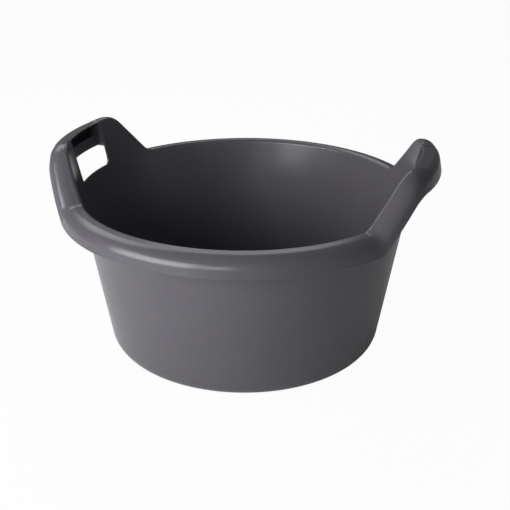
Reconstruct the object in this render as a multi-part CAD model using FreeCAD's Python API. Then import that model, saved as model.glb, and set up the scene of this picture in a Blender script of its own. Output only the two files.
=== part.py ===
"""Round moulded mixing tub with two raised hand grips.

One thin polypropylene shell: a flat floor on a foot ring, a rounded base bend, a flared wall, and
a rolled rim that turns over into a hanging skirt.  On +X and -X the rim climbs into a grip over a
hand hole.  Two end ribs close the climbs beside each grip, and carry a narrow upright band and a
level web that close the grip's hollow from below.  The shell is cut on radial and level planes,
and along the line where the rolled top meets the skirt, into pieces that meet face to face.
Millimetres, +Z up, origin at the middle of the resting plane, grips on +X and -X.
"""

import FreeCAD
import Part
import math
import os

# ---- wall and floor --------------------------------------------------------------------------
BASE_RADIUS = 167.3             # wall's outer face, carried down to the resting plane
RIM_HEIGHT = 201.3              # highest line of the rim, front and back
WALL_TAPER = 9.46               # degrees that the wall leans out from upright
WALL_THICKNESS = 2.5
FLOOR_THICKNESS = 3.0
BASE_BEND_RADIUS = 24.5         # outer radius of the bend from floor to wall

# ---- foot ring -------------------------------------------------------------------------------
FOOT_HEIGHT = 0.8               # how far the floor stands off the ground
FOOT_WIDTH = 4.0                # width of the ring it stands on
FOOT_INSET_WIDTH = 2.5          # from the ring's outer edge to where the floor bends up
GATE_RADIUS = 9.0               # moulding mark under the middle of the floor
GATE_HEIGHT = 0.5

# ---- rim section -----------------------------------------------------------------------------
SEAM_DEPTH = 29.3               # from the rim's highest line down to the level seam of the wall
SKIRT_DEPTH = 23.4              # from the rim's highest line down to the skirt's lower edge
SKIRT_OVERHANG_WIDTH = 28.1     # from the wall's outer face out to the skirt's lower edge
SKIRT_LEAN = 20.0               # degrees that the skirt leans out from upright, front and back
CROWN_FALL = 8.0                # degrees that the rim's top falls outwards, front and back
INNER_ROLL_RADIUS = 5.0         # bend from the wall's inner face to the rim's top
OUTER_ROLL_RADIUS = 14.0        # bend from the rim's top to the skirt

# ---- raised handles --------------------------------------------------------------------------
HANDLE_RISE_HEIGHT = 56.2       # from the rim's top up to the top beside the grips
HANDLE_INNER_LEAN = 12.8        # degrees that the inner edge of the rim leans out as it rises
HANDLE_OUTER_LEAN = 9.8         # degrees that the skirt's edge leans out as it rises
HANDLE_SKIRT_LEAN = 11.0        # degrees that the skirt leans out from upright, at the grips
GRIP_LENGTH = 89.0              # along the rim, between the end ribs
RISE_SLOPE = 48.5               # degrees that the rim climbs beside a grip
SHOULDER_LENGTH = 149.0         # between the two lines where the climbs meet the top
SHOULDER_BEND_RADIUS = 34.0     # bend of the rim at the top of the climb
FOOT_BEND_RADIUS = 17.0         # bend of the rim at the foot of the climb
CLIMB_MARGIN_LENGTH = 4.0       # level rim kept on each climbing piece past its foot
HOLE_SILL_HEIGHT = 0.3          # hand hole's lowest line, above the rim's highest line
HOLE_CORNER_RADIUS = 6.0
HOLE_SIDE_WIDTH = 1.0           # upright strip beside the hole
END_RIB_THICKNESS = 2.5         # rib inside each climb, beside the grip

# ---- grip section ----------------------------------------------------------------------------
GRIP_THICKNESS = 2.6
GRIP_SET_DOWN_HEIGHT = 1.3      # step from the rim's top down to the grip's inner edge
GRIP_SET_OUT_WIDTH = 1.6        # step from the wall's inner face out to the grip's inner edge
GRIP_FALL = 8.0                 # degrees that the grip's top falls outwards
GRIP_OUTER_RADIUS = 11.0        # bend from the grip's top to the skirt
BAND_THICKNESS = 2.5            # upright band between the end ribs, under the grip
BAND_SET_OUT_WIDTH = 2.0        # step from the grip's inner edge out to the band's inner face
BAND_DROP_HEIGHT = 17.0         # from the grip's inner edge down to the band's upper edge
BAND_HEIGHT = 14.7
WEB_THICKNESS = 2.5             # level web from the band out to the skirt
WEB_RISE_HEIGHT = 0.8           # from the skirt's lower inner edge up to the web

CLIMB_SECTIONS = 15             # sections that each climbing piece is skinned through

AXIS = FreeCAD.Vector(0, 0, 1)
ORIGIN = FreeCAD.Vector(0, 0, 0)
UPRIGHT = 90.0                  # degrees from outwards to upwards in the section plane


def tangent(degrees):
    return math.tan(math.radians(degrees))


def point(radius, height):
    """Point of the section plane, by its distance from the tub's axis and its height."""
    return FreeCAD.Vector(radius, 0.0, height)


def direction(degrees):
    """Unit vector in the section plane, turned from outwards to upwards."""
    turn = math.radians(degrees)
    return point(math.cos(turn), math.sin(turn))


def polar(centre, radius, degrees):
    return centre + direction(degrees) * radius


def line(first, last):
    return Part.LineSegment(first, last).toShape()


def arc(centre, radius, first, last):
    middle = (first + last) / 2.0
    return Part.Arc(polar(centre, radius, first), polar(centre, radius, middle),
                    polar(centre, radius, last)).toShape()


def at_level(first, last, level):
    """Point at a level on the straight line through two points."""
    return first + (last - first) * ((level - first.z) / (last.z - first.z))


def wall_outer(level):
    return BASE_RADIUS + level * tangent(WALL_TAPER)


def wall_inner(level):
    return wall_outer(level) - WALL_THICKNESS / math.cos(math.radians(WALL_TAPER))


def touch_angle(start, centre, radius):
    """Angle on a circle where a line that rises from a point below touches its inner side."""
    across = start.x - centre.x
    down = start.z - centre.z
    turn = math.degrees(math.atan2(down, across)) % 360.0
    return turn - math.degrees(math.acos(radius / math.hypot(across, down)))


def bend_centre(top_point, top_normal, edge_point, edge_normal, radius):
    """Centre of the bend of a given radius that joins two lines, each by a point and a normal."""
    first = direction(top_normal)
    second = direction(edge_normal)
    first_reach = first.dot(top_point) - radius
    second_reach = second.dot(edge_point) - radius
    scale = first.x * second.z - first.z * second.x
    return point((first_reach * second.z - second_reach * first.z) / scale,
                 (second_reach * first.x - first_reach * second.x) / scale)


# ---- places worked out once -------------------------------------------------------------------
SEAM_LEVEL = RIM_HEIGHT - SEAM_DEPTH
ROLL_LEVEL = RIM_HEIGHT - INNER_ROLL_RADIUS
ROLL_CENTRE = point(wall_inner(ROLL_LEVEL)
                    + INNER_ROLL_RADIUS / math.cos(math.radians(WALL_TAPER)), ROLL_LEVEL)
SKIRT_LEVEL = RIM_HEIGHT - SKIRT_DEPTH
SKIRT_EDGE = point(wall_outer(SKIRT_LEVEL) + SKIRT_OVERHANG_WIDTH, SKIRT_LEVEL)
CROWN_RADIUS = (wall_inner(RIM_HEIGHT) + SKIRT_EDGE.x) / 2.0    # for lengths along the rim
GRIP_HALF = GRIP_LENGTH / 2.0
SHOULDER_REACH = SHOULDER_LENGTH / 2.0
CLIMB_REACH = SHOULDER_REACH + HANDLE_RISE_HEIGHT / tangent(RISE_SLOPE)
CLIMB_END = CLIMB_REACH + FOOT_BEND_RADIUS * tangent(RISE_SLOPE / 2.0) + CLIMB_MARGIN_LENGTH
BASE_CENTRE_LEVEL = FOOT_HEIGHT + BASE_BEND_RADIUS
BASE_CENTRE = point(wall_outer(BASE_CENTRE_LEVEL)
                    - BASE_BEND_RADIUS / math.cos(math.radians(WALL_TAPER)), BASE_CENTRE_LEVEL)
INNER_FOOT = point(wall_inner(SEAM_LEVEL), SEAM_LEVEL)
OUTER_FOOT = point(wall_outer(SEAM_LEVEL), SEAM_LEVEL)


class RimSection:
    """Centres and touching angles of the rim section after it has climbed by a height."""

    def __init__(self, rise):
        climbed = rise / HANDLE_RISE_HEIGHT
        self.lean = SKIRT_LEAN + climbed * (HANDLE_SKIRT_LEAN - SKIRT_LEAN)
        self.top = UPRIGHT - CROWN_FALL
        self.roll = ROLL_CENTRE + point(rise * tangent(HANDLE_INNER_LEAN), rise)
        self.edge = SKIRT_EDGE + point(rise * tangent(HANDLE_OUTER_LEAN), rise)
        self.inner_edge = self.edge - direction(self.lean) * WALL_THICKNESS
        self.bend = bend_centre(polar(self.roll, INNER_ROLL_RADIUS, self.top), self.top,
                                self.edge, self.lean, OUTER_ROLL_RADIUS)
        self.inner_touch = touch_angle(INNER_FOOT, self.roll, INNER_ROLL_RADIUS)
        self.outer_touch = touch_angle(OUTER_FOOT, self.roll, INNER_ROLL_RADIUS - WALL_THICKNESS)

    def on_roll(self, depth, degrees):
        return polar(self.roll, INNER_ROLL_RADIUS - depth, degrees)

    def on_bend(self, depth, degrees):
        return polar(self.bend, OUTER_ROLL_RADIUS - depth, degrees)

    def hollow_roof(self):
        """Edges of the inner face of the rolled top, from the skirt to the wall's outer face."""
        wall = WALL_THICKNESS
        return [arc(self.bend, OUTER_ROLL_RADIUS - wall, self.lean, self.top),
                line(self.on_bend(wall, self.top), self.on_roll(wall, self.top)),
                arc(self.roll, INNER_ROLL_RADIUS - wall, self.top, self.outer_touch)]

    def rolled_top(self):
        """Closed wire of the wall above the seam and the top rolled over it."""
        wall = WALL_THICKNESS
        return Part.Wire([line(INNER_FOOT, self.on_roll(0.0, self.inner_touch)),
                          arc(self.roll, INNER_ROLL_RADIUS, self.inner_touch, self.top),
                          line(self.on_roll(0.0, self.top), self.on_bend(0.0, self.top)),
                          arc(self.bend, OUTER_ROLL_RADIUS, self.top, self.lean),
                          line(self.on_bend(0.0, self.lean), self.on_bend(wall, self.lean))]
                         + self.hollow_roof()
                         + [line(self.on_roll(wall, self.outer_touch), OUTER_FOOT),
                            line(OUTER_FOOT, INNER_FOOT)])

    def skirt(self):
        """Closed wire of the skirt that hangs from the rolled top."""
        return polygon([self.on_bend(0.0, self.lean), self.edge, self.inner_edge,
                        self.on_bend(WALL_THICKNESS, self.lean)])


def polygon(points):
    return Part.makePolygon(points + [points[0]])


def climb_height(reach):
    """Rise of the rim at a distance along it from the middle of a grip.

    Level top, bend, straight climb, bend, level rim; each bend is a circular arc.
    """
    slope = math.radians(RISE_SLOPE)
    top_run = SHOULDER_BEND_RADIUS * math.tan(slope / 2.0)
    foot_run = FOOT_BEND_RADIUS * math.tan(slope / 2.0)
    past_level = max(reach - (SHOULDER_REACH - top_run), 0.0)
    to_level = max(CLIMB_REACH + foot_run - reach, 0.0)
    if past_level < SHOULDER_BEND_RADIUS * math.sin(slope):
        drop = SHOULDER_BEND_RADIUS - math.sqrt(SHOULDER_BEND_RADIUS ** 2 - past_level ** 2)
        return HANDLE_RISE_HEIGHT - drop
    if to_level < FOOT_BEND_RADIUS * math.sin(slope):
        return FOOT_BEND_RADIUS - math.sqrt(FOOT_BEND_RADIUS ** 2 - to_level ** 2)
    return HANDLE_RISE_HEIGHT - (reach - SHOULDER_REACH) * math.tan(slope)


def reach_degrees(reach):
    """Azimuth from the middle of a grip of a distance along the rim."""
    return math.degrees(reach / CROWN_RADIUS)


def turned(shape, degrees):
    copy = shape.copy()
    copy.rotate(ORIGIN, AXIS, degrees)
    return copy


def swept(wire, first, last):
    """Solid of a section turned about the tub's axis between two azimuths."""
    return turned(Part.Face(wire), first).revolve(ORIGIN, AXIS, last - first)


def climbing(wire_of):
    """The +X, +Y climb of one part of the rim section, from beside the grip to the level rim."""
    sections = []
    for index in range(CLIMB_SECTIONS):
        reach = GRIP_HALF + (CLIMB_END - GRIP_HALF) * index / (CLIMB_SECTIONS - 1.0)
        wire = wire_of(RimSection(climb_height(reach)))
        sections.append(turned(wire, reach_degrees(reach)))
    return Part.makeLoft(sections, True, False)


def grip_inner_edge():
    """Inner edge of the grip's top, in the section plane through the middle of a grip."""
    section = RimSection(HANDLE_RISE_HEIGHT)
    wall_face = section.on_roll(0.0, section.inner_touch)
    return point(wall_face.x + GRIP_SET_OUT_WIDTH,
                 RIM_HEIGHT + HANDLE_RISE_HEIGHT - GRIP_SET_DOWN_HEIGHT)


def band_corners():
    """Corners of the band's section: inner low, inner high, outer high, outer low."""
    high = grip_inner_edge() + point(BAND_SET_OUT_WIDTH, -BAND_DROP_HEIGHT)
    low = high - AXIS * BAND_HEIGHT
    through = point(BAND_THICKNESS, 0.0)
    return [low, high, high + through, low + through]


def end_rib():
    """Rib that closes the +X, +Y climb beside the grip, down to the band's lower edge."""
    section = RimSection(HANDLE_RISE_HEIGHT)
    wall_top = section.on_roll(WALL_THICKNESS, section.outer_touch)
    band_low = band_corners()[-1]
    wall_low = at_level(OUTER_FOOT, wall_top, band_low.z)
    wire = Part.Wire([line(section.inner_edge, section.on_bend(WALL_THICKNESS, section.lean))]
                     + section.hollow_roof()
                     + [line(wall_top, wall_low),
                        line(wall_low, band_low),
                        line(band_low, section.inner_edge)])
    return swept(wire, reach_degrees(GRIP_HALF), reach_degrees(GRIP_HALF + END_RIB_THICKNESS))


def handle_panel():
    """Wall under and beside the +X hand hole, with the hole's rounded lower corners."""
    section = RimSection(HANDLE_RISE_HEIGHT)
    inner_top = section.on_roll(0.0, section.inner_touch)
    outer_top = section.on_roll(WALL_THICKNESS, section.outer_touch)
    side = reach_degrees(GRIP_HALF)
    panel = swept(polygon([INNER_FOOT, inner_top, outer_top, OUTER_FOOT]), -side, side)
    hole_side = reach_degrees(GRIP_HALF - HOLE_SIDE_WIDTH)
    sill = RIM_HEIGHT + HOLE_SILL_HEIGHT
    near = INNER_FOOT.x - WALL_THICKNESS
    far = outer_top.x + WALL_THICKNESS
    above = outer_top.z + WALL_THICKNESS
    hole = swept(polygon([point(near, sill), point(far, sill), point(far, above),
                          point(near, above)]), -hole_side, hole_side)
    corners = [edge for edge in hole.Edges
               if edge.BoundBox.ZMax < sill + 1e-6 and edge.Curve.TypeId == "Part::GeomLine"]
    return panel.cut(hole.makeFillet(HOLE_CORNER_RADIUS, corners))


def grip_skirt_face(bend, section):
    """Lower and upper end of the inner face of the grip's skirt."""
    low = section.edge - direction(section.lean) * GRIP_THICKNESS
    return low, polar(bend, GRIP_OUTER_RADIUS - GRIP_THICKNESS, section.lean)


def grip_bend(section):
    """Centre of the bend from the grip's top to its skirt."""
    return bend_centre(grip_inner_edge(), UPRIGHT - GRIP_FALL, section.edge, section.lean,
                       GRIP_OUTER_RADIUS)


def hand_grip():
    """The +X grip: a slimmer top, open towards the tub, that turns down into the rim's skirt."""
    section = RimSection(HANDLE_RISE_HEIGHT)
    corner = grip_inner_edge()
    top = UPRIGHT - GRIP_FALL
    bend = grip_bend(section)
    inside = GRIP_OUTER_RADIUS - GRIP_THICKNESS
    low_corner = corner - direction(top) * GRIP_THICKNESS
    face_low, face_high = grip_skirt_face(bend, section)
    wire = Part.Wire([line(corner, polar(bend, GRIP_OUTER_RADIUS, top)),
                      arc(bend, GRIP_OUTER_RADIUS, top, section.lean),
                      line(polar(bend, GRIP_OUTER_RADIUS, section.lean), section.edge),
                      line(section.edge, face_low),
                      line(face_low, face_high),
                      arc(bend, inside, section.lean, top),
                      line(polar(bend, inside, top), low_corner),
                      line(low_corner, corner)])
    side = reach_degrees(GRIP_HALF)
    return swept(wire, -side, side)


def grip_band():
    """Upright band under the +X grip, from one end rib to the other."""
    side = reach_degrees(GRIP_HALF)
    return swept(polygon(band_corners()), -side, side)


def grip_web():
    """Level web under the +X grip, from the band out to the skirt."""
    section = RimSection(HANDLE_RISE_HEIGHT)
    face_low, face_high = grip_skirt_face(grip_bend(section), section)
    low = face_low.z + WEB_RISE_HEIGHT
    high = low + WEB_THICKNESS
    band_face = band_corners()[-1].x
    side = reach_degrees(GRIP_HALF)
    return swept(polygon([point(band_face, low), point(band_face, high),
                          at_level(face_low, face_high, high),
                          at_level(face_low, face_high, low)]), -side, side)


def wall_section():
    """Closed wire of the flared wall, from the base bend up to the seam under the rim."""
    level = BASE_CENTRE.z
    return polygon([point(wall_inner(level), level), INNER_FOOT, OUTER_FOOT,
                    point(wall_outer(level), level)])


def base_bend_section():
    """Closed wire of the bend between the floor's edge and the flared wall.

    Inside, the bend stops where it meets the level of the floor's upper face.
    """
    level = BASE_CENTRE.z
    inside = BASE_BEND_RADIUS - WALL_THICKNESS
    floor_drop = BASE_BEND_RADIUS - max(FLOOR_THICKNESS, WALL_THICKNESS)
    floor_turn = -math.degrees(math.asin(floor_drop / inside))
    inner_start = polar(BASE_CENTRE, inside, floor_turn)
    wall_foot = point(wall_outer(level), level)
    inner_wall_foot = point(wall_inner(level), level)
    low = point(BASE_CENTRE.x, FOOT_HEIGHT)
    high = point(BASE_CENTRE.x, inner_start.z)
    return Part.Wire([arc(BASE_CENTRE, BASE_BEND_RADIUS, -UPRIGHT, -WALL_TAPER),
                      line(polar(BASE_CENTRE, BASE_BEND_RADIUS, -WALL_TAPER), wall_foot),
                      line(wall_foot, inner_wall_foot),
                      line(inner_wall_foot, polar(BASE_CENTRE, inside, -WALL_TAPER)),
                      arc(BASE_CENTRE, inside, -WALL_TAPER, floor_turn),
                      line(inner_start, high),
                      line(high, low)])


def floor_panel():
    """Round floor with the moulding mark under its middle."""
    floor = Part.makeCylinder(BASE_CENTRE.x, FLOOR_THICKNESS, point(0.0, FOOT_HEIGHT))
    gate = Part.makeCylinder(GATE_RADIUS, GATE_HEIGHT, point(0.0, FOOT_HEIGHT - GATE_HEIGHT))
    return floor.fuse(gate).removeSplitter()


def foot_ring():
    outer = BASE_CENTRE.x - FOOT_INSET_WIDTH
    ring = Part.makeCylinder(outer, FOOT_HEIGHT)
    return ring.cut(Part.makeCylinder(outer - FOOT_WIDTH, FOOT_HEIGHT))


def save(name, shape):
    solids = shape.Solids
    if not solids or not shape.isValid():
        raise ValueError("bad shape: " + name)
    shape.exportStep("parts/" + name + ".step")
    print(name, len(solids), round(shape.Volume))


def save_four(name, shape):
    """A piece beside the +X grip towards +Y, and its mirror images beside both grips."""
    front = shape.mirror(ORIGIN, FreeCAD.Vector(0, 1, 0))
    save(name + "_right_back", shape)
    save(name + "_right_front", front)
    save(name + "_left_back", shape.mirror(ORIGIN, FreeCAD.Vector(1, 0, 0)))
    save(name + "_left_front", front.mirror(ORIGIN, FreeCAD.Vector(1, 0, 0)))


def save_pair(name, shape):
    save(name + "_right", shape)
    save(name + "_left", shape.mirror(ORIGIN, FreeCAD.Vector(1, 0, 0)))


def main():
    os.makedirs("parts", exist_ok=True)
    side = reach_degrees(CLIMB_END)
    arcs = {"right": (-side, side), "back": (side, 180.0 - side),
            "left": (180.0 - side, 180.0 + side), "front": (180.0 + side, 360.0 - side)}
    save("floor_panel", floor_panel())
    save("foot_ring", foot_ring())
    for name, (first, last) in arcs.items():
        save("base_bend_" + name, swept(base_bend_section(), first, last))
        save("wall_" + name, swept(wall_section(), first, last))
    level_rim = RimSection(0.0)
    for name in ("back", "front"):
        save("rim_" + name, swept(level_rim.rolled_top(), *arcs[name]))
        save("skirt_" + name, swept(level_rim.skirt(), *arcs[name]))
    save_four("rim_climb", climbing(RimSection.rolled_top))
    save_four("skirt_climb", climbing(RimSection.skirt))
    save_four("end_rib", end_rib())
    save_pair("handle_panel", handle_panel())
    save_pair("hand_grip", hand_grip())
    save_pair("grip_band", grip_band())
    save_pair("grip_web", grip_web())


main()
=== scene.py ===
"""Looks of a round moulded mixing tub with two raised hand grips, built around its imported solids.

Every surface is a section of the thin plastic shell, carried round the tub's axis.  A section lies
in a plane through the axis: its points are (distance from the axis, height), in metres.
"""

import math

import bpy
import numpy as np
from mathutils import Matrix, Vector


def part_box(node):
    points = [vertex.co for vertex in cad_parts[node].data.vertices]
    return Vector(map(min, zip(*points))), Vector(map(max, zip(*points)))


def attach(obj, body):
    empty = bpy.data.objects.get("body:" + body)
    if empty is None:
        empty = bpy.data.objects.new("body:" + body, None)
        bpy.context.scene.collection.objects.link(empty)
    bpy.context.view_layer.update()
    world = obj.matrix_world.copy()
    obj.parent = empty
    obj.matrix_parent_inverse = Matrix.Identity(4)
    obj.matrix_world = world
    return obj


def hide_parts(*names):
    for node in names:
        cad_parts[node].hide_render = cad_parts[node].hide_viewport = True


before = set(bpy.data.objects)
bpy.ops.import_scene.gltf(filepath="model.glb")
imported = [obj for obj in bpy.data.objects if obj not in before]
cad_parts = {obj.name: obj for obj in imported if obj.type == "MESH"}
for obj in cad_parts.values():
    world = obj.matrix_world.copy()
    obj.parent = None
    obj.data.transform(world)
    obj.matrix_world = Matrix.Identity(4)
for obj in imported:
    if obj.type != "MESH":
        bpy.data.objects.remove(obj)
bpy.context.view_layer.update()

bl_info = {
    "name": "Mixing Tub",
    "version": (1, 0, 0),
    "blender": (4, 5, 0),
    "location": "View3D > Sidebar > Mixing Tub",
    "description": "Builds the surfaces, the plastic and the studio of a round mixing tub",
    "category": "Add Mesh",
}

MM = 0.001

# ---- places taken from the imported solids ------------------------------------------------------
SEAM_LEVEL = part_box("rim_front")[0].z
RIM_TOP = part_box("rim_front")[1].z
SEAM_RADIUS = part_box("wall_right")[1].x
SKIRT_RADIUS = -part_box("skirt_front")[0].y
SKIRT_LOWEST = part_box("skirt_front")[0].z
HANDLE_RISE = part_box("rim_climb_right_back")[1].z - RIM_TOP
CLIMB_END = math.acos(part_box("skirt_back")[1].x / SKIRT_RADIUS)
GRIP_END = math.asin(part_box("hand_grip_right")[1].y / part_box("hand_grip_right")[1].x)
FLOOR_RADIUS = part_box("floor_panel")[1].x
FLOOR_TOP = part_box("floor_panel")[1].z
FLOOR_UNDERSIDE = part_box("base_bend_front")[0].z
BASE_BEND_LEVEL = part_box("base_bend_front")[1].z
FOOT_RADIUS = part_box("foot_ring")[1].x
FOUR_CLIMBS = ("right_back", "right_front", "left_back", "left_front")
UPWARD_CLIMBS = ("right_back", "left_front")
SIDES = (("right", 0.0), ("left", math.pi))
QUARTER = 0.5 * math.pi

# ---- how finely the surfaces are cut -----------------------------------------------------------
LEG_ROWS, ROLL_ROWS, TOP_ROWS, BEND_ROWS, SKIRT_ROWS = 30, 12, 3, 18, 8
BASE_BEND_ROWS, WALL_ROWS, PANEL_ROWS = 30, 30, 24
LIP_ROWS, EDGE_ROWS, FOOT_ROWS, BAND_ROWS = 9, 7, 6, 13
ALL_ROUND_COLUMNS, LEVEL_COLUMNS, CLIMB_COLUMNS = 720, 221, 150
HOLE_COLUMNS, GRIP_COLUMNS, CORNER_COLUMNS, END_COLUMNS = 61, 91, 17, 9
TANGENT_ROUNDS = 8
HAIR = 1.0e-4

# ---- small details of the mould ----------------------------------------------------------------
FOOT_ROUND = 0.5 * MM
DRAW_FADE = 4.0 * MM
GATE_EDGE, GATE_STEP, GATE_TILT = 0.3, 0.2 * MM, 0.6
SPRUE_RIM, SPRUE_WALL, SPRUE_FACE, SPRUE_DEPTH = 1.9, 1.6, 1.2, 0.25 * MM
POLE = 0.4

# ---- studio ------------------------------------------------------------------------------------
WHITE = (1.0, 1.0, 1.0, 1.0)
GROUND_RADIUS, GROUND_CORNERS, GROUND_GLOW = 6.0, 128, 0.96
LAMP_DISTANCE, LAMP_AIM = 1.6, 0.12
# Each lamp's name, degrees round and above the tub, side in metres, and field of the studio.
LAMPS = (("key_lamp", -115.0, 18.0, 0.7, "key_power"),
         ("side_lamp", -140.0, 18.0, 0.7, "side_power"),
         ("front_lamp", -90.0, 18.0, 0.35, "front_power"),
         ("back_lamp", 105.0, 45.0, 0.8, "back_power"),
         ("far_lamp", 150.0, 45.0, 0.8, "far_power"))
CAMERA_LENS, CAMERA_SENSOR = 65.065, 36.0
CAMERA_SHIFT = (0.02012, 0.00175)
CAMERA_DISTANCE, CAMERA_RAISED, CAMERA_AROUND = 1.16886, 0.41242, math.radians(-75.05)
CAMERA_AIM, CAMERA_ROLL = 0.10707, math.radians(-0.207)


def length(name, text, default_mm):
    return bpy.props.FloatProperty(name=name, description=text, default=default_mm * MM,
                                   min=0.0, unit="LENGTH", precision=4)


def turn(name, text, degrees):
    return bpy.props.FloatProperty(name=name, description=text, default=math.radians(degrees),
                                   subtype="ANGLE", unit="ROTATION")


def colour(name, text, code):
    return bpy.props.FloatVectorProperty(name=name, description=text, default=linear(code),
                                         subtype="COLOR", size=3, min=0.0, max=1.0)


def watts(name, text, default):
    return bpy.props.FloatProperty(name=name, description=text, default=default, min=0.0)


def linear(code):
    """Linear light of an sRGB colour written as a hex number: (c / 12.92) below 0.04045, and
    ((c + 0.055) / 1.055) to the power 2.4 above it."""
    parts = [((code >> shift) & 255) / 255.0 for shift in (16, 8, 0)]
    return tuple(c / 12.92 if c <= 0.04045 else ((c + 0.055) / 1.055) ** 2.4 for c in parts)


class ShellSizes(bpy.types.PropertyGroup):
    """Sizes of the wall, the base and the rolled rim."""

    wall_taper: turn("Wall taper", "How far the wall leans out from upright", 9.46)
    wall_thickness: length("Wall thickness", "Thickness of the moulded shell", 2.5)
    foot_width: length("Foot width", "Width of the ring that the tub stands on", 4.0)
    gate_radius: length("Gate radius", "Radius of the moulding mark under the floor", 9.0)
    skirt_lean: turn("Skirt lean", "Lean of the hanging skirt, front and back", 12.0)
    handle_skirt_lean: turn("Handle skirt lean", "Lean of the skirt at the grips", 11.0)
    crown_fall: turn("Crown fall", "How far the rim's top falls outwards", 8.0)
    inner_roll: length("Inner roll", "Radius from the wall to the rim's top", 5.0)
    outer_roll: length("Outer roll", "Radius from the rim's top to the skirt", 17.5)


class HandleSizes(bpy.types.PropertyGroup):
    """Sizes of the climbs, the hand holes and the grips."""

    inner_lean: turn("Inner lean", "Lean of the rim's inner edge as it climbs", 12.8)
    outer_lean: turn("Outer lean", "Lean of the skirt's edge as it climbs", 9.8)
    grip_length: length("Grip length", "Length of a grip along the rim", 89.0)
    rise_slope: turn("Rise slope", "Slope of the climb beside a grip", 48.5)
    shoulder_length: length("Shoulder length", "Between the lines where the climbs end", 149.0)
    shoulder_bend: length("Shoulder bend", "Bend at the top of the climb", 34.0)
    foot_bend: length("Foot bend", "Bend at the foot of the climb", 17.0)
    hole_sill: length("Hole sill", "Hand hole's lowest line above the rim's top", 0.3)
    hole_corner: length("Hole corner", "Radius of the hand hole's lower corners", 6.0)
    hole_side: length("Hole side", "Upright strip beside the hole", 1.0)
    rib_thickness: length("Rib thickness", "Rib inside each climb, beside the grip", 2.5)
    edge_round: length("Edge round", "Rounding of the edges beside the hole and grip", 0.9)
    grip_thickness: length("Grip thickness", "Wall thickness of the grip", 2.6)
    grip_set_down: length("Grip set down", "Step from the rim's top down to the grip", 1.3)
    grip_set_out: length("Grip set out", "Step from the inner face out to the grip", 1.6)
    grip_fall: turn("Grip fall", "How far the grip's top falls outwards", 8.0)
    grip_outer_roll: length("Grip outer roll", "Bend from the grip's top to the skirt", 11.0)
    band_thickness: length("Band thickness", "Upright band under the grip", 2.5)
    band_set_out: length("Band set out", "Step from the grip's inner edge out to the band", 2.0)
    band_drop: length("Band drop", "From the grip's inner edge down to the band", 17.0)
    band_height: length("Band height", "Height of the band", 14.7)
    web_thickness: length("Web thickness", "Level web from the band out to the skirt", 2.5)
    web_rise: length("Web rise", "From the skirt's lower inner edge up to the web", 0.8)


class PlasticLook(bpy.types.PropertyGroup):
    """Colour and finish of the moulded polypropylene."""

    body: colour("Plastic", "Colour of the moulded plastic", 0x5B595F)
    scuffed: colour("Scuffed", "Colour where the surface is rubbed", 0x6E6C71)
    roughness: bpy.props.FloatProperty(name="Roughness", description="Roughness of the satin skin",
                                       default=0.23, min=0.0, max=1.0)
    grain: length("Grain", "Distance between the grains of the spark-eroded mould", 0.9)
    cloud: length("Cloud", "Size of the soft patches left by the flow of the melt", 60.0)
    scratch: length("Scratch", "Distance between fine rubbing marks", 2.2)


class StudioLook(bpy.types.PropertyGroup):
    """Floor, lamps and camera."""

    floor: colour("Floor", "Colour of the floor and backdrop", 0xF4F4F4)
    key_power: watts("Key", "Lamp in front, to the left", 11.5)
    side_power: watts("Side", "Lamp on the left", 10.2)
    front_power: watts("Front", "Lamp in front", 2.5)
    back_power: watts("Back", "Lamp behind, above the rim", 3.2)
    far_power: watts("Far", "Lamp behind, on the left", 4.7)
    sky: bpy.props.FloatProperty(name="Sky", description="Strength of the plain surroundings",
                                 default=0.12, min=0.0)


def shell():
    return bpy.context.scene.tub_shell


def handle():
    return bpy.context.scene.tub_handle


# ---- sections --------------------------------------------------------------------------------
def unit(angle):
    """Unit vectors (cos a, sin a) of an array of angles, turned from outwards to upwards."""
    return np.stack([np.cos(angle), np.sin(angle)], axis=-1)


def spherical(distance, around, up):
    """The point at a distance, an angle round the axis and an angle above the ground."""
    return distance * Vector((math.cos(up) * math.cos(around), math.cos(up) * math.sin(around),
                              math.sin(up)))


def arc(centre, radius, first, last, count):
    """Rows centre + radius (cos a, sin a), a even from first to last; the normal's angle is a."""
    share = np.linspace(0.0, 1.0, count)
    first, last = np.broadcast_arrays(first, last)
    angle = first[..., None] + (last - first)[..., None] * share
    return centre[..., None, :] + radius * unit(angle), angle


def between(first, last, angle, count):
    """Rows evenly between two points, leaving both out, with one normal's angle."""
    share = (np.arange(count) + 1.0) / (count + 1.0)
    points = first[..., None, :] + (last - first)[..., None, :] * share[:, None]
    return points, np.broadcast_to(np.asarray(angle)[..., None], points.shape[:-1])


def joined(*runs):
    """One run of rows from several, as (points, normal angles)."""
    return (np.concatenate([points for points, _ in runs], axis=-2),
            np.concatenate([angle for _, angle in runs], axis=-1))


def lip_round(points, angle, thickness):
    """Rows of the half circle that closes a run's last edge, thickness wide, ends left out."""
    centre = points[..., -1, :] - 0.5 * thickness * unit(angle[..., -1])
    last = angle[..., -1]
    rows, turned = arc(centre, 0.5 * thickness, last, last - math.pi, LIP_ROWS)
    return rows[..., 1:-1, :], turned[..., 1:-1]


def wall_outer(level):
    """Radius of the wall's outer cone at a level."""
    return SEAM_RADIUS + (level - SEAM_LEVEL) * math.tan(shell().wall_taper)


def wall_inner(level):
    """Radius of the wall's inner cone at a level."""
    return wall_outer(level) - shell().wall_thickness / math.cos(shell().wall_taper)


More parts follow.
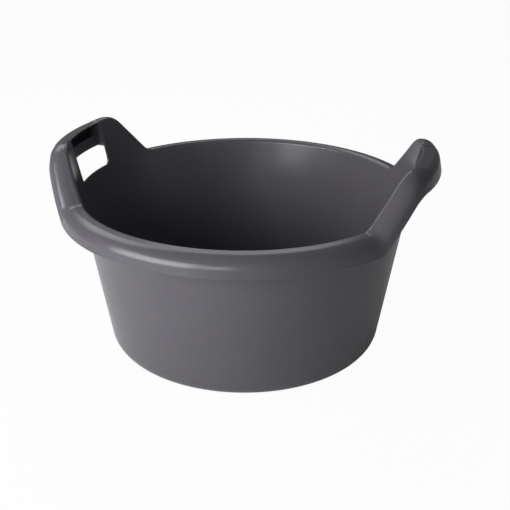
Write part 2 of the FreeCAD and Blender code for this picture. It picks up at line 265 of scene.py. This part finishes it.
def bend_centre(top_point, top_angle, edge_point, edge_angle, radius):
    """Centre of the bend that joins two lines, each by a point and its normal's angle: the point
    whose distance under both lines is the radius."""
    first, second = unit(top_angle), unit(edge_angle)
    first_reach = (first * top_point).sum(-1) - radius
    second_reach = (second * edge_point).sum(-1) - radius
    scale = first[..., 0] * second[..., 1] - first[..., 1] * second[..., 0]
    return np.stack([first_reach * second[..., 1] - second_reach * first[..., 1],
                     second_reach * first[..., 0] - first_reach * second[..., 0]],
                    axis=-1) / scale[..., None]


def crown_radius():
    """Radius at which a length along the rim gives its azimuth."""
    return 0.5 * handle().grip_length / GRIP_END


def climb_rise(azimuth):
    """Rise of the rim at an azimuth from the middle of the nearer grip.

    Level top, circular bend, straight slope, circular bend, level rim."""
    sizes = handle()
    reach = np.abs(azimuth) * crown_radius()
    slope = sizes.rise_slope
    top_run = sizes.shoulder_bend * math.tan(0.5 * slope)
    foot_run = sizes.foot_bend * math.tan(0.5 * slope)
    shoulder = 0.5 * sizes.shoulder_length
    foot = shoulder + HANDLE_RISE / math.tan(slope)
    past = np.clip(reach - (shoulder - top_run), 0.0, sizes.shoulder_bend * math.sin(slope))
    left = np.clip(foot + foot_run - reach, 0.0, sizes.foot_bend * math.sin(slope))
    high = HANDLE_RISE - sizes.shoulder_bend + np.sqrt(sizes.shoulder_bend ** 2 - past ** 2)
    low = sizes.foot_bend - np.sqrt(sizes.foot_bend ** 2 - left ** 2)
    straight = HANDLE_RISE - (reach - shoulder) * math.tan(slope)
    on_top = reach < shoulder + top_run * math.cos(slope)
    at_foot = reach > foot - foot_run * math.cos(slope)
    return np.where(on_top, high, np.where(at_foot, low, straight))


def rim_lines(rise):
    """Roll centre, skirt's edge, its lean, and bend centre of the rim after it has risen."""
    sizes = shell()
    roll_level = RIM_TOP - sizes.inner_roll
    roll_radius = wall_inner(roll_level) + sizes.inner_roll / math.cos(sizes.wall_taper)
    roll = np.stack([roll_radius + rise * math.tan(handle().inner_lean), roll_level + rise], -1)
    edge_level = SKIRT_LOWEST + sizes.wall_thickness * math.sin(sizes.skirt_lean)
    edge = np.stack([SKIRT_RADIUS + rise * math.tan(handle().outer_lean), edge_level + rise], -1)
    lean = sizes.skirt_lean + rise / HANDLE_RISE * (sizes.handle_skirt_lean - sizes.skirt_lean)
    top = np.full_like(lean, QUARTER - sizes.crown_fall)
    bend = bend_centre(roll + sizes.inner_roll * unit(top), top, edge, lean, sizes.outer_roll)
    return roll, edge, lean, top, bend


def leg_touch(roll):
    """Level, extra lean and slope where the wall's inner face meets the roll.

    The face is the wall's cone plus extra u squared, u being the share of the way up from the
    seam.  Its slope there is the cone's plus 2 extra over that height, and the roll is tangent."""
    sizes = shell()
    slope = np.full(roll.shape[:-1], sizes.wall_taper)
    for _ in range(TANGENT_ROUNDS):
        level = roll[..., 1] + sizes.inner_roll * np.sin(slope)
        extra = roll[..., 0] - sizes.inner_roll * np.cos(slope) - wall_inner(level)
        slope = np.arctan(math.tan(sizes.wall_taper) + 2.0 * extra / (level - SEAM_LEVEL))
    return level, extra, slope


def leg(roll, share):
    """Rows of the wall's inner face above the seam, at shares of the way up to the roll."""
    level, extra, _ = leg_touch(roll)
    height = (level - SEAM_LEVEL)[..., None] * share
    radius = wall_inner(SEAM_LEVEL + height) + extra[..., None] * share ** 2
    slope = np.arctan(math.tan(shell().wall_taper)
                      + 2.0 * extra[..., None] * share / (level - SEAM_LEVEL)[..., None])
    return np.stack([radius, SEAM_LEVEL + height], -1), math.pi - slope


def rim_outside(rise):
    """Rows of the rim's skin: up the inner face, over the roll, top and bend, down the skirt."""
    sizes = shell()
    roll, edge, lean, top, bend = rim_lines(rise)
    slope = leg_touch(roll)[2]
    share = np.arange(LEG_ROWS) / float(LEG_ROWS)
    over = arc(roll, sizes.inner_roll, math.pi - slope, top, ROLL_ROWS)
    down = arc(bend, sizes.outer_roll, top, lean, BEND_ROWS)
    flat = between(over[0][..., -1, :], down[0][..., 0, :], top, TOP_ROWS)
    hem = edge - 0.5 * sizes.wall_thickness * unit(lean - QUARTER)
    skirt = between(down[0][..., -1, :], hem, lean, SKIRT_ROWS)
    return joined(leg(roll, np.broadcast_to(share, rise.shape + share.shape)), over, flat, down,
                  skirt, (hem[..., None, :], lean[..., None]))


def inside_of(points, angle, thickness):
    """The same rows moved back by the thickness along their normals."""
    return points - thickness * unit(angle)


def wall_seam(points):
    """The wall's outer face ends exactly on the seam, like the wall under it."""
    points[..., 0, :] = (wall_outer(SEAM_LEVEL), SEAM_LEVEL)
    return points


def smooth_step(value, low, high):
    """Share s of the way from low to high, as 3 s squared - 2 s cubed."""
    share = np.clip((value - low) / (high - low), 0.0, 1.0)
    return share * share * (3.0 - 2.0 * share)


def rim_ring(azimuth):
    """Closed rows of the rim's section at an azimuth from the middle of the nearer grip.

    Beside the grip the skin draws back by round - sqrt(round squared - (round - x) squared), x
    being the distance from the end, which rounds the edges of the hole and of the step."""
    sizes = shell()
    rise = climb_rise(azimuth)
    points, angle = rim_outside(rise)
    back = wall_seam(inside_of(points, angle, sizes.wall_thickness))
    rounded = handle().edge_round
    past = np.abs(azimuth) * crown_radius() - hole_reach()
    left = np.clip(rounded - past, 0.0, rounded)
    drawn = (rounded - np.sqrt(rounded ** 2 - left ** 2))[..., None]
    sill = RIM_TOP + handle().hole_sill + handle().hole_corner
    weight = smooth_step(points[..., 1], sill, sill + DRAW_FADE)
    bend_first = LEG_ROWS + ROLL_ROWS + TOP_ROWS
    weight[..., bend_first:bend_first + BEND_ROWS] *= 1.0 - np.linspace(0.0, 1.0, BEND_ROWS) ** 2
    weight[..., bend_first + BEND_ROWS:] = 0.0
    rib_low = SKIRT_LOWEST + HANDLE_RISE
    back_weight = (smooth_step(back[..., 1], sill, sill + DRAW_FADE)
                   * (1.0 - smooth_step(back[..., 1], rib_low - DRAW_FADE, rib_low)))
    back_weight[..., LEG_ROWS:] = 0.0
    normal = unit(angle)
    points = points - (weight * drawn)[..., None] * normal
    back = back + (back_weight * drawn)[..., None] * normal
    lip, lip_angle = lip_round(points, angle, sizes.wall_thickness)
    return (np.concatenate([points, lip, back[..., ::-1, :]], -2),
            np.concatenate([angle, lip_angle, angle[..., ::-1] - math.pi], -1))


def hole_reach():
    """Length along the rim from the middle of a grip to the side of the hand hole."""
    return 0.5 * handle().grip_length - handle().hole_side


def hole_azimuth():
    """Azimuth of the side of the hand hole, from the middle of its grip."""
    return hole_reach() / crown_radius()


def panel_ring(azimuth):
    """Closed rows of the wall under the hand hole, up to the sill and its rounded corners.

    The sill's level is flat, then rises by corner - sqrt(corner squared - x squared)."""
    sizes = handle()
    thick = shell().wall_thickness
    rounded = sizes.edge_round
    reach = np.minimum(np.abs(azimuth) * crown_radius(), hole_reach())
    past = np.clip(reach - (hole_reach() - sizes.hole_corner), 0.0, sizes.hole_corner)
    sill = (RIM_TOP + sizes.hole_sill + sizes.hole_corner
            - np.sqrt(sizes.hole_corner ** 2 - past ** 2))
    roll = rim_lines(np.full_like(azimuth, HANDLE_RISE))[0]
    full = leg_touch(roll)[0] - SEAM_LEVEL
    share = np.linspace(0.0, 1.0, PANEL_ROWS) * ((sill - rounded - SEAM_LEVEL) / full)[..., None]
    face, angle = leg(roll, share)
    back = wall_seam(inside_of(face, angle, thick))
    last = angle[..., -1]
    inner = arc(face[..., -1, :] - rounded * unit(last), rounded, last, last - QUARTER, EDGE_ROWS)
    outer = arc(back[..., -1, :] + rounded * unit(last), rounded, last - QUARTER,
                last - math.pi, EDGE_ROWS)
    return joined((face, angle), (inner[0][..., 1:, :], inner[1][..., 1:]),
                  (outer[0][..., :-1, :], outer[1][..., :-1]),
                  (back[..., ::-1, :], angle[..., ::-1] - math.pi))


def grip_corner():
    """Inner edge of the grip's top, as (radius, level)."""
    sizes = handle()
    roll = rim_lines(np.array([HANDLE_RISE]))[0][0]
    face = roll[0] - shell().inner_roll * math.cos(shell().wall_taper)
    return np.array([face + sizes.grip_set_out, RIM_TOP + HANDLE_RISE - sizes.grip_set_down])


def grip_ring(azimuth):
    """Closed rows of the grip: its top and skirt, with both edges rounded."""
    sizes = handle()
    thick = sizes.grip_thickness
    corner = np.broadcast_to(grip_corner(), azimuth.shape + (2,))
    _, edge, lean, _, _ = rim_lines(np.full_like(azimuth, HANDLE_RISE))
    top = np.full_like(lean, QUARTER - sizes.grip_fall)
    bend = bend_centre(corner, top, edge, lean, sizes.grip_outer_roll)
    down = arc(bend, sizes.grip_outer_roll, top, lean, BEND_ROWS)
    start = corner + 0.5 * thick * unit(top - QUARTER)
    hem = edge - 0.5 * thick * unit(lean - QUARTER)
    points, angle = joined(
        (start[..., None, :], top[..., None]),
        between(start, down[0][..., 0, :], top, TOP_ROWS), down,
        between(down[0][..., -1, :], hem, lean, SKIRT_ROWS), (hem[..., None, :], lean[..., None]))
    back = inside_of(points, angle, thick)
    return joined((points, angle), lip_round(points, angle, thick),
                  (back[..., ::-1, :], angle[..., ::-1] - math.pi),
                  lip_round(back[..., ::-1, :], angle[..., ::-1] - math.pi, thick))


def band_levels():
    """Upper and lower edge of the band under the grip."""
    high = grip_corner()[1] - handle().band_drop
    return high, high - handle().band_height


def band_face():
    """Radius of the band's outer face."""
    return grip_corner()[0] + handle().band_set_out + handle().band_thickness


def band_ring(azimuth):
    """Closed rows of the band: a half circle over its upper edge and one under its lower edge."""
    half = 0.5 * handle().band_thickness
    middle = grip_corner()[0] + handle().band_set_out + half
    high, low = band_levels()
    over = arc(np.array([middle, high - half]), half, math.pi, 0.0, BAND_ROWS)
    under = arc(np.array([middle, low + half]), half, 0.0, -math.pi, BAND_ROWS)
    points, angle = joined(over, under)
    return (np.broadcast_to(points, azimuth.shape + points.shape),
            np.broadcast_to(angle, azimuth.shape + angle.shape))


def web_ring(azimuth):
    """Closed rows of the level web between the band and the inner face of the grip's skirt."""
    sizes = handle()
    _, edge, lean, _, _ = rim_lines(np.array([HANDLE_RISE]))
    foot = (edge - sizes.grip_thickness * unit(lean))[0]
    inner = band_face()
    low = foot[1] + sizes.web_rise
    high = low + sizes.web_thickness
    outer = [foot[0] - (level - foot[1]) * math.tan(lean[0]) for level in (low, high)]
    points = np.array([(inner, low), (inner, high), (outer[1], high), (outer[0], low)])
    angle = np.array([math.pi, QUARTER, 0.0, -QUARTER])
    return (np.broadcast_to(points, azimuth.shape + (4, 2)),
            np.broadcast_to(angle, azimuth.shape + (4,)))


# ---- surfaces --------------------------------------------------------------------------------
def climb_side(name, azimuth):
    """Azimuths of a climb's columns from the middle of its grip, and that middle's azimuth."""
    turned = azimuth if name in UPWARD_CLIMBS else -azimuth[::-1]
    return turned, 0.0 if name.startswith("right") else math.pi


def carried(ring, azimuth, middle=0.0):
    """Points (r cos a, r sin a, z) of a section's rows carried to azimuths, and their normals.

    The normal is the row's tangent crossed with the rate of change along the azimuth, which is
    taken from the same section a hair to each side, so that pieces that meet shade as one."""
    def placed(points, turned):
        around = np.stack([np.cos(turned), np.sin(turned)], -1)
        flat = points[..., :1] * around[:, None, :]
        return np.concatenate([flat, points[..., 1:]], -1)

    points, angle = ring(azimuth)
    along = (placed(ring(azimuth + HAIR)[0], middle + azimuth + HAIR)
             - placed(ring(azimuth - HAIR)[0], middle + azimuth - HAIR))
    tangent = placed(np.stack([np.sin(angle), -np.cos(angle)], -1), middle + azimuth)
    normal = np.cross(tangent, along)
    normal /= np.linalg.norm(normal, axis=-1, keepdims=True)
    return placed(points, middle + azimuth), normal


def piece(name, points, normals, nodes, around=False, flat_rows=()):
    """A closed piece from rows of points, columns x rows x 3, the rows being a closed loop.

    Its sides are quads, facing out where rows run clockwise in the section.  Unless the piece
    goes all the way around, both end sections are flat faces.  Quads after a flat row are flat."""
    columns, rows = points.shape[:2]
    index = np.arange(columns * rows).reshape(columns, rows)
    if around:
        index = np.concatenate([index, index[:1]])
    low, high = index[:-1], index[1:]
    quads = np.stack([low, np.roll(low, -1, 1), np.roll(high, -1, 1), high], -1)
    smooth = np.ones(quads.shape[:2], bool)
    smooth[:, list(flat_rows)] = False
    faces = quads.reshape(-1, 4).tolist()
    smooth = smooth.ravel().tolist()
    if not around:
        faces += [index[0, ::-1].tolist(), index[-1].tolist()]
        smooth += [False, False]
    return finished(name, points.reshape(-1, 3), faces, normals.reshape(-1, 3), smooth, nodes)


def finished(name, points, faces, normals, smooth, nodes):
    """Puts a surface in the scene, with its normals and its plastic, and hides the nodes it stands
    for.
    """
    mesh = bpy.data.meshes.new(name)
    mesh.from_pydata(points.tolist(), [], faces)
    mesh.update()
    smooth = np.asarray(smooth)
    mesh.polygons.foreach_set("use_smooth", smooth)
    face_normals = np.empty(len(faces) * 3)
    mesh.polygon_normals.foreach_get("vector", face_normals)
    totals = np.array([len(face) for face in faces])
    corners = np.concatenate(faces)
    flat = np.repeat(face_normals.reshape(-1, 3), totals, 0)
    split = np.where(np.repeat(smooth, totals)[:, None], normals[corners], flat)
    mesh.normals_split_custom_set(split.tolist())
    mesh.materials.append(moulded_polypropylene())
    thing = bpy.data.objects.new(name, mesh)
    bpy.context.scene.collection.objects.link(thing)
    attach(thing, "root")
    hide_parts(*nodes)
    return thing


def turned_all_round(name, points, angle, nodes, flat_rows=()):
    """A closed section carried all the way round the axis."""
    def ring(azimuth):
        shape = azimuth.shape + angle.shape
        return np.broadcast_to(points, shape + (2,)), np.broadcast_to(angle, shape)

    azimuth = np.linspace(0.0, 2.0 * math.pi, ALL_ROUND_COLUMNS, endpoint=False)
    return piece(name, *carried(ring, azimuth), nodes, around=True, flat_rows=flat_rows)


# ---- plastic ---------------------------------------------------------------------------------
def add(tree, kind, settings=None, inputs=None):
    """Adds a node, sets its settings, and fills its inputs with values or with other sockets."""
    node = tree.nodes.new(kind)
    for name, value in (settings or {}).items():
        setattr(node, name, value)
    for name, value in (inputs or {}).items():
        if isinstance(value, bpy.types.NodeSocket):
            tree.links.new(value, node.inputs[name])
        else:
            node.inputs[name].default_value = value
    return node


def moulded_polypropylene():
    """Injection-moulded polypropylene, dyed dark grey.

    A spark-eroded steel mould leaves a fine even grain, which spreads highlights into a satin
    sheen.  The melt's flow leaves faint patches, and handling leaves thin paler rubbing marks.
    """
    known = bpy.data.materials.get("Moulded_Polypropylene")
    if known:
        return known
    look = bpy.context.scene.tub_plastic
    material = bpy.data.materials.new("Moulded_Polypropylene")
    material.use_nodes = True
    tree = material.node_tree
    tree.nodes.clear()
    place = add(tree, "ShaderNodeTexCoord").outputs["Object"]
    cloud = add(tree, "ShaderNodeTexNoise", inputs={
        "Vector": place, "Scale": 1.0 / look.cloud, "Detail": 3.0, "Roughness": 0.55})
    stretched = add(tree, "ShaderNodeMapping", inputs={"Vector": place, "Scale": (1.0, 1.0, 0.18)})
    rubbed = add(tree, "ShaderNodeTexNoise", inputs={
        "Vector": stretched.outputs["Vector"], "Scale": 1.0 / look.scratch, "Detail": 6.0,
        "Roughness": 0.7, "Distortion": 0.6})
    rub = add(tree, "ShaderNodeMapRange", inputs={
        "Value": rubbed.outputs["Fac"], "From Min": 0.60, "From Max": 0.78, "To Min": 0.0,
        "To Max": 0.16})
    patch = add(tree, "ShaderNodeMapRange", inputs={
        "Value": cloud.outputs["Fac"], "From Min": 0.3, "From Max": 0.7, "To Min": 0.0,
        "To Max": 0.12})
    share = add(tree, "ShaderNodeMath", {"operation": "ADD"}, {
        0: rub.outputs["Result"], 1: patch.outputs["Result"]})
    tint = add(tree, "ShaderNodeMix", {"data_type": "RGBA"}, {
        "Factor": share.outputs["Value"], "A": (*look.body, 1.0), "B": (*look.scuffed, 1.0)})
    # The real grain is about 0.1 mm; it is drawn coarser so that it shows.
    grain = add(tree, "ShaderNodeTexNoise", inputs={
        "Vector": place, "Scale": 1.0 / look.grain, "Detail": 2.0, "Roughness": 0.6})
    satin = add(tree, "ShaderNodeMapRange", inputs={
        "Value": cloud.outputs["Fac"], "From Min": 0.3, "From Max": 0.7,
        "To Min": look.roughness - 0.03, "To Max": look.roughness + 0.04})
    relief = add(tree, "ShaderNodeBump", inputs={
        "Height": grain.outputs["Fac"], "Strength": 0.25, "Distance": 0.06 * MM})
    plastic = add(tree, "ShaderNodeBsdfPrincipled", inputs={
        "Base Color": tint.outputs["Result"], "Roughness": satin.outputs["Result"],
        "Normal": relief.outputs["Normal"], "IOR": 1.49})
    add(tree, "ShaderNodeOutputMaterial", inputs={"Surface": plastic.outputs["BSDF"]})
    return material


# ---- operators -------------------------------------------------------------------------------
class PieceOperator:
    """What every operator here shares: it makes its pieces and reports done."""

    bl_options = {"REGISTER", "UNDO"}

    def execute(self, context):
        self.make()
        return {"FINISHED"}


class TUB_OT_floor(PieceOperator, bpy.types.Operator):
    """Floor disc with the moulding mark under its middle"""

    bl_idname = "tub.floor"
    bl_label = "Floor"

    def make(self):
        """A flat disc whose underside steps down to a round boss with a cut-off sprue stub."""
        gate, edge = shell().gate_radius / MM, FLOOR_RADIUS / MM
        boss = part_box("floor_panel")[0].z
        down, up = -QUARTER, QUARTER
        heights = [(POLE, FLOOR_TOP, up), (0.5 * edge, FLOOR_TOP, up), (edge, FLOOR_TOP, up),
                   (edge, FLOOR_UNDERSIDE, down), (gate + GATE_EDGE, FLOOR_UNDERSIDE, down),
                   (gate, boss + GATE_STEP, down + GATE_TILT), (gate - GATE_EDGE, boss, down),
                   (SPRUE_RIM, boss, down), (SPRUE_WALL, boss - GATE_STEP, down + GATE_TILT),
                   (SPRUE_FACE, boss - SPRUE_DEPTH, down), (POLE, boss - SPRUE_DEPTH, down)]
        points = np.array([(radius * MM, level) for radius, level, _ in heights])
        angle = np.array([turned for _, _, turned in heights])
        turned_all_round("floor_disc", points, angle, ["floor_panel"],
                         flat_rows=(2, len(heights) - 1))


class TUB_OT_foot(PieceOperator, bpy.types.Operator):
    """Low ring that the tub stands on"""

    bl_idname = "tub.foot"
    bl_label = "Foot ring"

    def make(self):
        """A rectangle with its two lower corners rounded, carried round the axis."""
        inner = FOOT_RADIUS - shell().foot_width
        right = arc(np.array([FOOT_RADIUS - FOOT_ROUND, FOOT_ROUND]), FOOT_ROUND,
                    0.0, -QUARTER, FOOT_ROWS)
        left = arc(np.array([inner + FOOT_ROUND, FOOT_ROUND]), FOOT_ROUND,
                   -QUARTER, -math.pi, FOOT_ROWS)
        corners = np.array([[inner, FLOOR_UNDERSIDE], [FOOT_RADIUS, FLOOR_UNDERSIDE]])
        points = np.concatenate([corners, right[0], left[0]])
        angle = np.concatenate([[-math.pi, 0.0], right[1], left[1]])
        turned_all_round("foot_bead", points, angle, ["foot_ring"], flat_rows=(0,))


class TUB_OT_side(PieceOperator, bpy.types.Operator):
    """Flared wall with its bend into the floor"""

    bl_idname = "tub.side"
    bl_label = "Wall"

    def make(self):
        """Circular bend outside, straight flare up to the seam, and the same way down inside.

        The inner bend is tangent to the floor's upper face and to the inner wall."""
        sizes = shell()
        taper = sizes.wall_taper
        outer_bend = BASE_BEND_LEVEL - FLOOR_UNDERSIDE
        inner_bend = BASE_BEND_LEVEL - FLOOR_TOP
        centre = np.array([FLOOR_RADIUS, BASE_BEND_LEVEL])
        shift = (outer_bend - sizes.wall_thickness - inner_bend) / math.cos(taper)
        inner_centre = centre + (shift, 0.0)
        bend = arc(inner_centre, inner_bend, -QUARTER, -taper, BASE_BEND_ROWS)
        up = arc(centre, outer_bend, -QUARTER, -taper, BASE_BEND_ROWS)
        seam_in = np.array([wall_inner(SEAM_LEVEL), SEAM_LEVEL])
        seam_out = np.array([wall_outer(SEAM_LEVEL), SEAM_LEVEL])
        facing_in = np.array([math.pi - taper])
        facing_out = np.array([-taper])
        points, angle = joined(
            (np.array([[FLOOR_RADIUS, FLOOR_TOP]]), np.array([QUARTER])),
            (bend[0], bend[1] + math.pi),
            between(bend[0][-1], seam_in, math.pi - taper, WALL_ROWS), (seam_in[None], facing_in),
            (seam_out[None], facing_out), between(seam_out, up[0][-1], -taper, WALL_ROWS),
            (up[0][::-1], up[1][::-1]))
        nodes = [kind + side for kind in ("wall_", "base_bend_")
                 for side in ("right", "back", "left", "front")]
        seam_row = 1 + BASE_BEND_ROWS + WALL_ROWS
        turned_all_round("tub_side", points, angle, nodes,
                         flat_rows=(seam_row, len(points) - 1))


class TUB_OT_rim(PieceOperator, bpy.types.Operator):
    """Level rolled rim at the front and the back"""

    bl_idname = "tub.rim"
    bl_label = "Rolled rim"

    def make(self):
        """The rim's section carried between the feet of the climbs."""
        azimuth = np.linspace(CLIMB_END, math.pi - CLIMB_END, LEVEL_COLUMNS)
        for name, half in (("back", 0.0), ("front", math.pi)):
            points, normals = carried(lambda turned: rim_ring(np.full_like(turned, CLIMB_END)),
                                      azimuth, half)
            piece("rolled_rim_" + name, points, normals, ["rim_" + name, "skirt_" + name])


class TUB_OT_climbs(PieceOperator, bpy.types.Operator):
    """Four stretches of rim that climb to the grips"""

    bl_idname = "tub.climbs"
    bl_label = "Climbs"

    def make(self):
        """The rim's section carried from the grip to the level rim, while it sinks."""
        rounded = handle().edge_round / crown_radius()
        first = hole_azimuth()
        end = first + rounded * (1.0 - np.cos(np.linspace(0.0, QUARTER, END_COLUMNS)))
        azimuth = np.concatenate([end, np.linspace(end[-1], CLIMB_END, CLIMB_COLUMNS)[1:]])
        for name in FOUR_CLIMBS:
            turned, middle = climb_side(name, azimuth)
            piece("rising_rim_" + name, *carried(rim_ring, turned, middle),
                  ["rim_climb_" + name, "skirt_climb_" + name])


class TUB_OT_panels(PieceOperator, bpy.types.Operator):
    """Wall under the two hand holes"""

    bl_idname = "tub.panels"
    bl_label = "Hand hole panels"

    def make(self):
        """The panel's section carried across the hole, with close columns in its corners."""
        corner = np.sin(np.linspace(0.0, QUARTER, CORNER_COLUMNS)) * handle().hole_corner
        right = (hole_reach() - handle().hole_corner + corner) / crown_radius()
        middle = np.linspace(-right[0], right[0], HOLE_COLUMNS)[1:-1]
        azimuth = np.concatenate([-right[::-1], middle, right])
        for name, centre in SIDES:
            piece("hole_panel_" + name, *carried(panel_ring, azimuth, centre),
                  ["handle_panel_" + name])


class TUB_OT_grips(PieceOperator, bpy.types.Operator):
    """Two hand grips, set a little below the rim beside them, with a band and a web under each"""

    bl_idname = "tub.grips"
    bl_label = "Hand grips"

    def make(self):
        """The sections of the grip, the band and the web carried between the climbs."""
        azimuth = np.linspace(-hole_azimuth(), hole_azimuth(), GRIP_COLUMNS)
        for name, centre in SIDES:
            piece("carry_grip_" + name, *carried(grip_ring, azimuth, centre),
                  ["hand_grip_" + name])
            piece("finger_band_" + name, *carried(band_ring, azimuth, centre),
                  ["grip_band_" + name])
            piece("finger_web_" + name, *carried(web_ring, azimuth, centre),
                  ["grip_web_" + name], flat_rows=range(4))


class TUB_OT_ribs(PieceOperator, bpy.types.Operator):
    """Ribs that close each climb beside the grip and carry the band and the web"""

    bl_idname = "tub.ribs"
    bl_label = "End ribs"

    def make(self):
        """The outline of the hollow under the rim, down to the band's lower edge."""
        outside, angle = rim_outside(np.array([HANDLE_RISE]))
        hollow = inside_of(outside, angle, shell().wall_thickness)[0]
        low = band_levels()[1]
        wall = hollow[:LEG_ROWS]
        outline = np.concatenate([[[np.interp(low, wall[:, 1], wall[:, 0]), low]],
                                  hollow[np.argmax(hollow[:, 1] > low):], [[band_face(), low]]])
        thick = handle().rib_thickness / crown_radius()
        azimuth = np.array([hole_azimuth(), hole_azimuth() + thick])
        for name in FOUR_CLIMBS:
            turned, middle = climb_side(name, azimuth)
            around = middle + turned
            points = np.stack([outline[:, 0] * np.cos(around)[:, None],
                               outline[:, 0] * np.sin(around)[:, None],
                               np.broadcast_to(outline[:, 1], (2, len(outline)))], -1)
            piece("tie_rib_" + name, points, np.zeros_like(points), ["end_rib_" + name],
                  flat_rows=range(len(outline)))


class TUB_OT_studio(PieceOperator, bpy.types.Operator):
    """Pale floor, soft lamps and camera"""

    bl_idname = "tub.studio"
    bl_label = "Studio"

    def make(self):
        """White surroundings, the ground, the lamps and the camera."""
        look = bpy.context.scene.tub_studio
        bpy.context.scene.view_settings.view_transform = "Standard"
        self.surroundings(look)
        self.floor(look)
        for name, azimuth, raised, size, field in LAMPS:
            self.lamp(name, azimuth, raised, size, getattr(look, field))
        self.camera()

    def surroundings(self, look):
        """Plain light from all round; the camera sees white."""
        world = bpy.context.scene.world or bpy.data.worlds.new("Studio_Air")
        bpy.context.scene.world = world
        world.use_nodes = True
        tree = world.node_tree
        tree.nodes.clear()
        seen = add(tree, "ShaderNodeLightPath").outputs["Is Camera Ray"]
        dim = add(tree, "ShaderNodeBackground", inputs={"Color": WHITE, "Strength": look.sky})
        white = add(tree, "ShaderNodeBackground", inputs={"Color": WHITE, "Strength": 1.0})
        both = add(tree, "ShaderNodeMixShader", inputs={0: seen, 1: dim.outputs[0],
                                                        2: white.outputs[0]})
        add(tree, "ShaderNodeOutputWorld", inputs={"Surface": both.outputs[0]})

    def floor(self, look):
        """A pale disc that shows nearly white to the camera and still takes the tub's shadow.

        From below it is clear, so that the tub shows through it."""
        azimuth = np.linspace(0.0, 2.0 * math.pi, GROUND_CORNERS, endpoint=False)
        points = np.stack([GROUND_RADIUS * np.cos(azimuth), GROUND_RADIUS * np.sin(azimuth),
                           np.zeros_like(azimuth)], -1)
        mesh = bpy.data.meshes.new("studio_floor")
        mesh.from_pydata(points.tolist(), [], [list(range(GROUND_CORNERS))])
        material = bpy.data.materials.new("Matte_Paper_Floor")
        material.use_nodes = True
        tree = material.node_tree
        tree.nodes.clear()
        seen = add(tree, "ShaderNodeLightPath").outputs["Is Camera Ray"]
        share = add(tree, "ShaderNodeMath", {"operation": "MULTIPLY"}, {0: seen, 1: GROUND_GLOW})
        paper = add(tree, "ShaderNodeBsdfDiffuse", inputs={"Color": (*look.floor, 1.0)})
        white = add(tree, "ShaderNodeEmission", inputs={"Color": WHITE, "Strength": 1.0})
        both = add(tree, "ShaderNodeMixShader", inputs={0: share.outputs[0], 1: paper.outputs[0],
                                                        2: white.outputs[0]})
        under = add(tree, "ShaderNodeNewGeometry").outputs["Backfacing"]
        clear = add(tree, "ShaderNodeBsdfTransparent")
        sided = add(tree, "ShaderNodeMixShader", inputs={0: under, 1: both.outputs[0],
                                                         2: clear.outputs[0]})
        add(tree, "ShaderNodeOutputMaterial", inputs={"Surface": sided.outputs[0]})
        mesh.materials.append(material)
        floor = bpy.data.objects.new("studio_floor", mesh)
        bpy.context.scene.collection.objects.link(floor)

    def lamp(self, name, azimuth, raised, size, power):
        """A soft square lamp at a fixed distance, in degrees round and above the tub, facing it."""
        data = bpy.data.lights.new(name, "AREA")
        data.shape = "SQUARE"
        data.size = size
        data.energy = power
        lamp = bpy.data.objects.new(name, data)
        aim = Vector((0.0, 0.0, LAMP_AIM))
        offset = spherical(LAMP_DISTANCE, math.radians(azimuth), math.radians(raised))
        facing = offset.to_track_quat("Z", "Y").to_matrix().to_4x4()
        lamp.matrix_world = Matrix.Translation(aim + offset) @ facing
        bpy.context.scene.collection.objects.link(lamp)

    def camera(self):
        """A long lens, a little above the rim and turned towards the right grip."""
        data = bpy.data.cameras.new("camera")
        data.lens = CAMERA_LENS
        data.sensor_width = CAMERA_SENSOR
        data.shift_x, data.shift_y = CAMERA_SHIFT
        camera = bpy.data.objects.new("camera", data)
        aim = Vector((0.0, 0.0, CAMERA_AIM))
        offset = spherical(CAMERA_DISTANCE, CAMERA_AROUND, CAMERA_RAISED)
        facing = offset.to_track_quat("Z", "Y").to_matrix().to_4x4()
        camera.matrix_world = (Matrix.Translation(aim + offset) @ facing
                               @ Matrix.Rotation(CAMERA_ROLL, 4, "Z"))
        bpy.context.scene.collection.objects.link(camera)
        bpy.context.scene.camera = camera


class TUB_PT_panel(bpy.types.Panel):
    """Sidebar panel that lists the tub's sizes and pieces"""

    bl_idname = "TUB_PT_panel"
    bl_label = "Mixing Tub"
    bl_space_type = "VIEW_3D"
    bl_region_type = "UI"
    bl_category = "Mixing Tub"

    def draw(self, context):
        for group in (context.scene.tub_shell, context.scene.tub_handle,
                      context.scene.tub_plastic, context.scene.tub_studio):
            box = self.layout.box()
            for name in group.__annotations__:
                box.prop(group, name)
        for kind in OPERATORS:
            self.layout.operator(kind.bl_idname)


OPERATORS = (TUB_OT_floor, TUB_OT_foot, TUB_OT_side, TUB_OT_rim, TUB_OT_climbs, TUB_OT_panels,
             TUB_OT_grips, TUB_OT_ribs, TUB_OT_studio)
GROUPS = {"tub_shell": ShellSizes, "tub_handle": HandleSizes, "tub_plastic": PlasticLook,
          "tub_studio": StudioLook}


def register():
    for kind in (*GROUPS.values(), *OPERATORS, TUB_PT_panel):
        bpy.utils.register_class(kind)
    for name, kind in GROUPS.items():
        setattr(bpy.types.Scene, name, bpy.props.PointerProperty(type=kind))


def unregister():
    for name in GROUPS:
        delattr(bpy.types.Scene, name)
    for kind in (TUB_PT_panel, *reversed(OPERATORS), *reversed(GROUPS.values())):
        bpy.utils.unregister_class(kind)


def main():
    register()
    for kind in OPERATORS:
        getattr(bpy.ops.tub, kind.bl_idname.split(".")[1])()


if __name__ == "__main__":
    main()
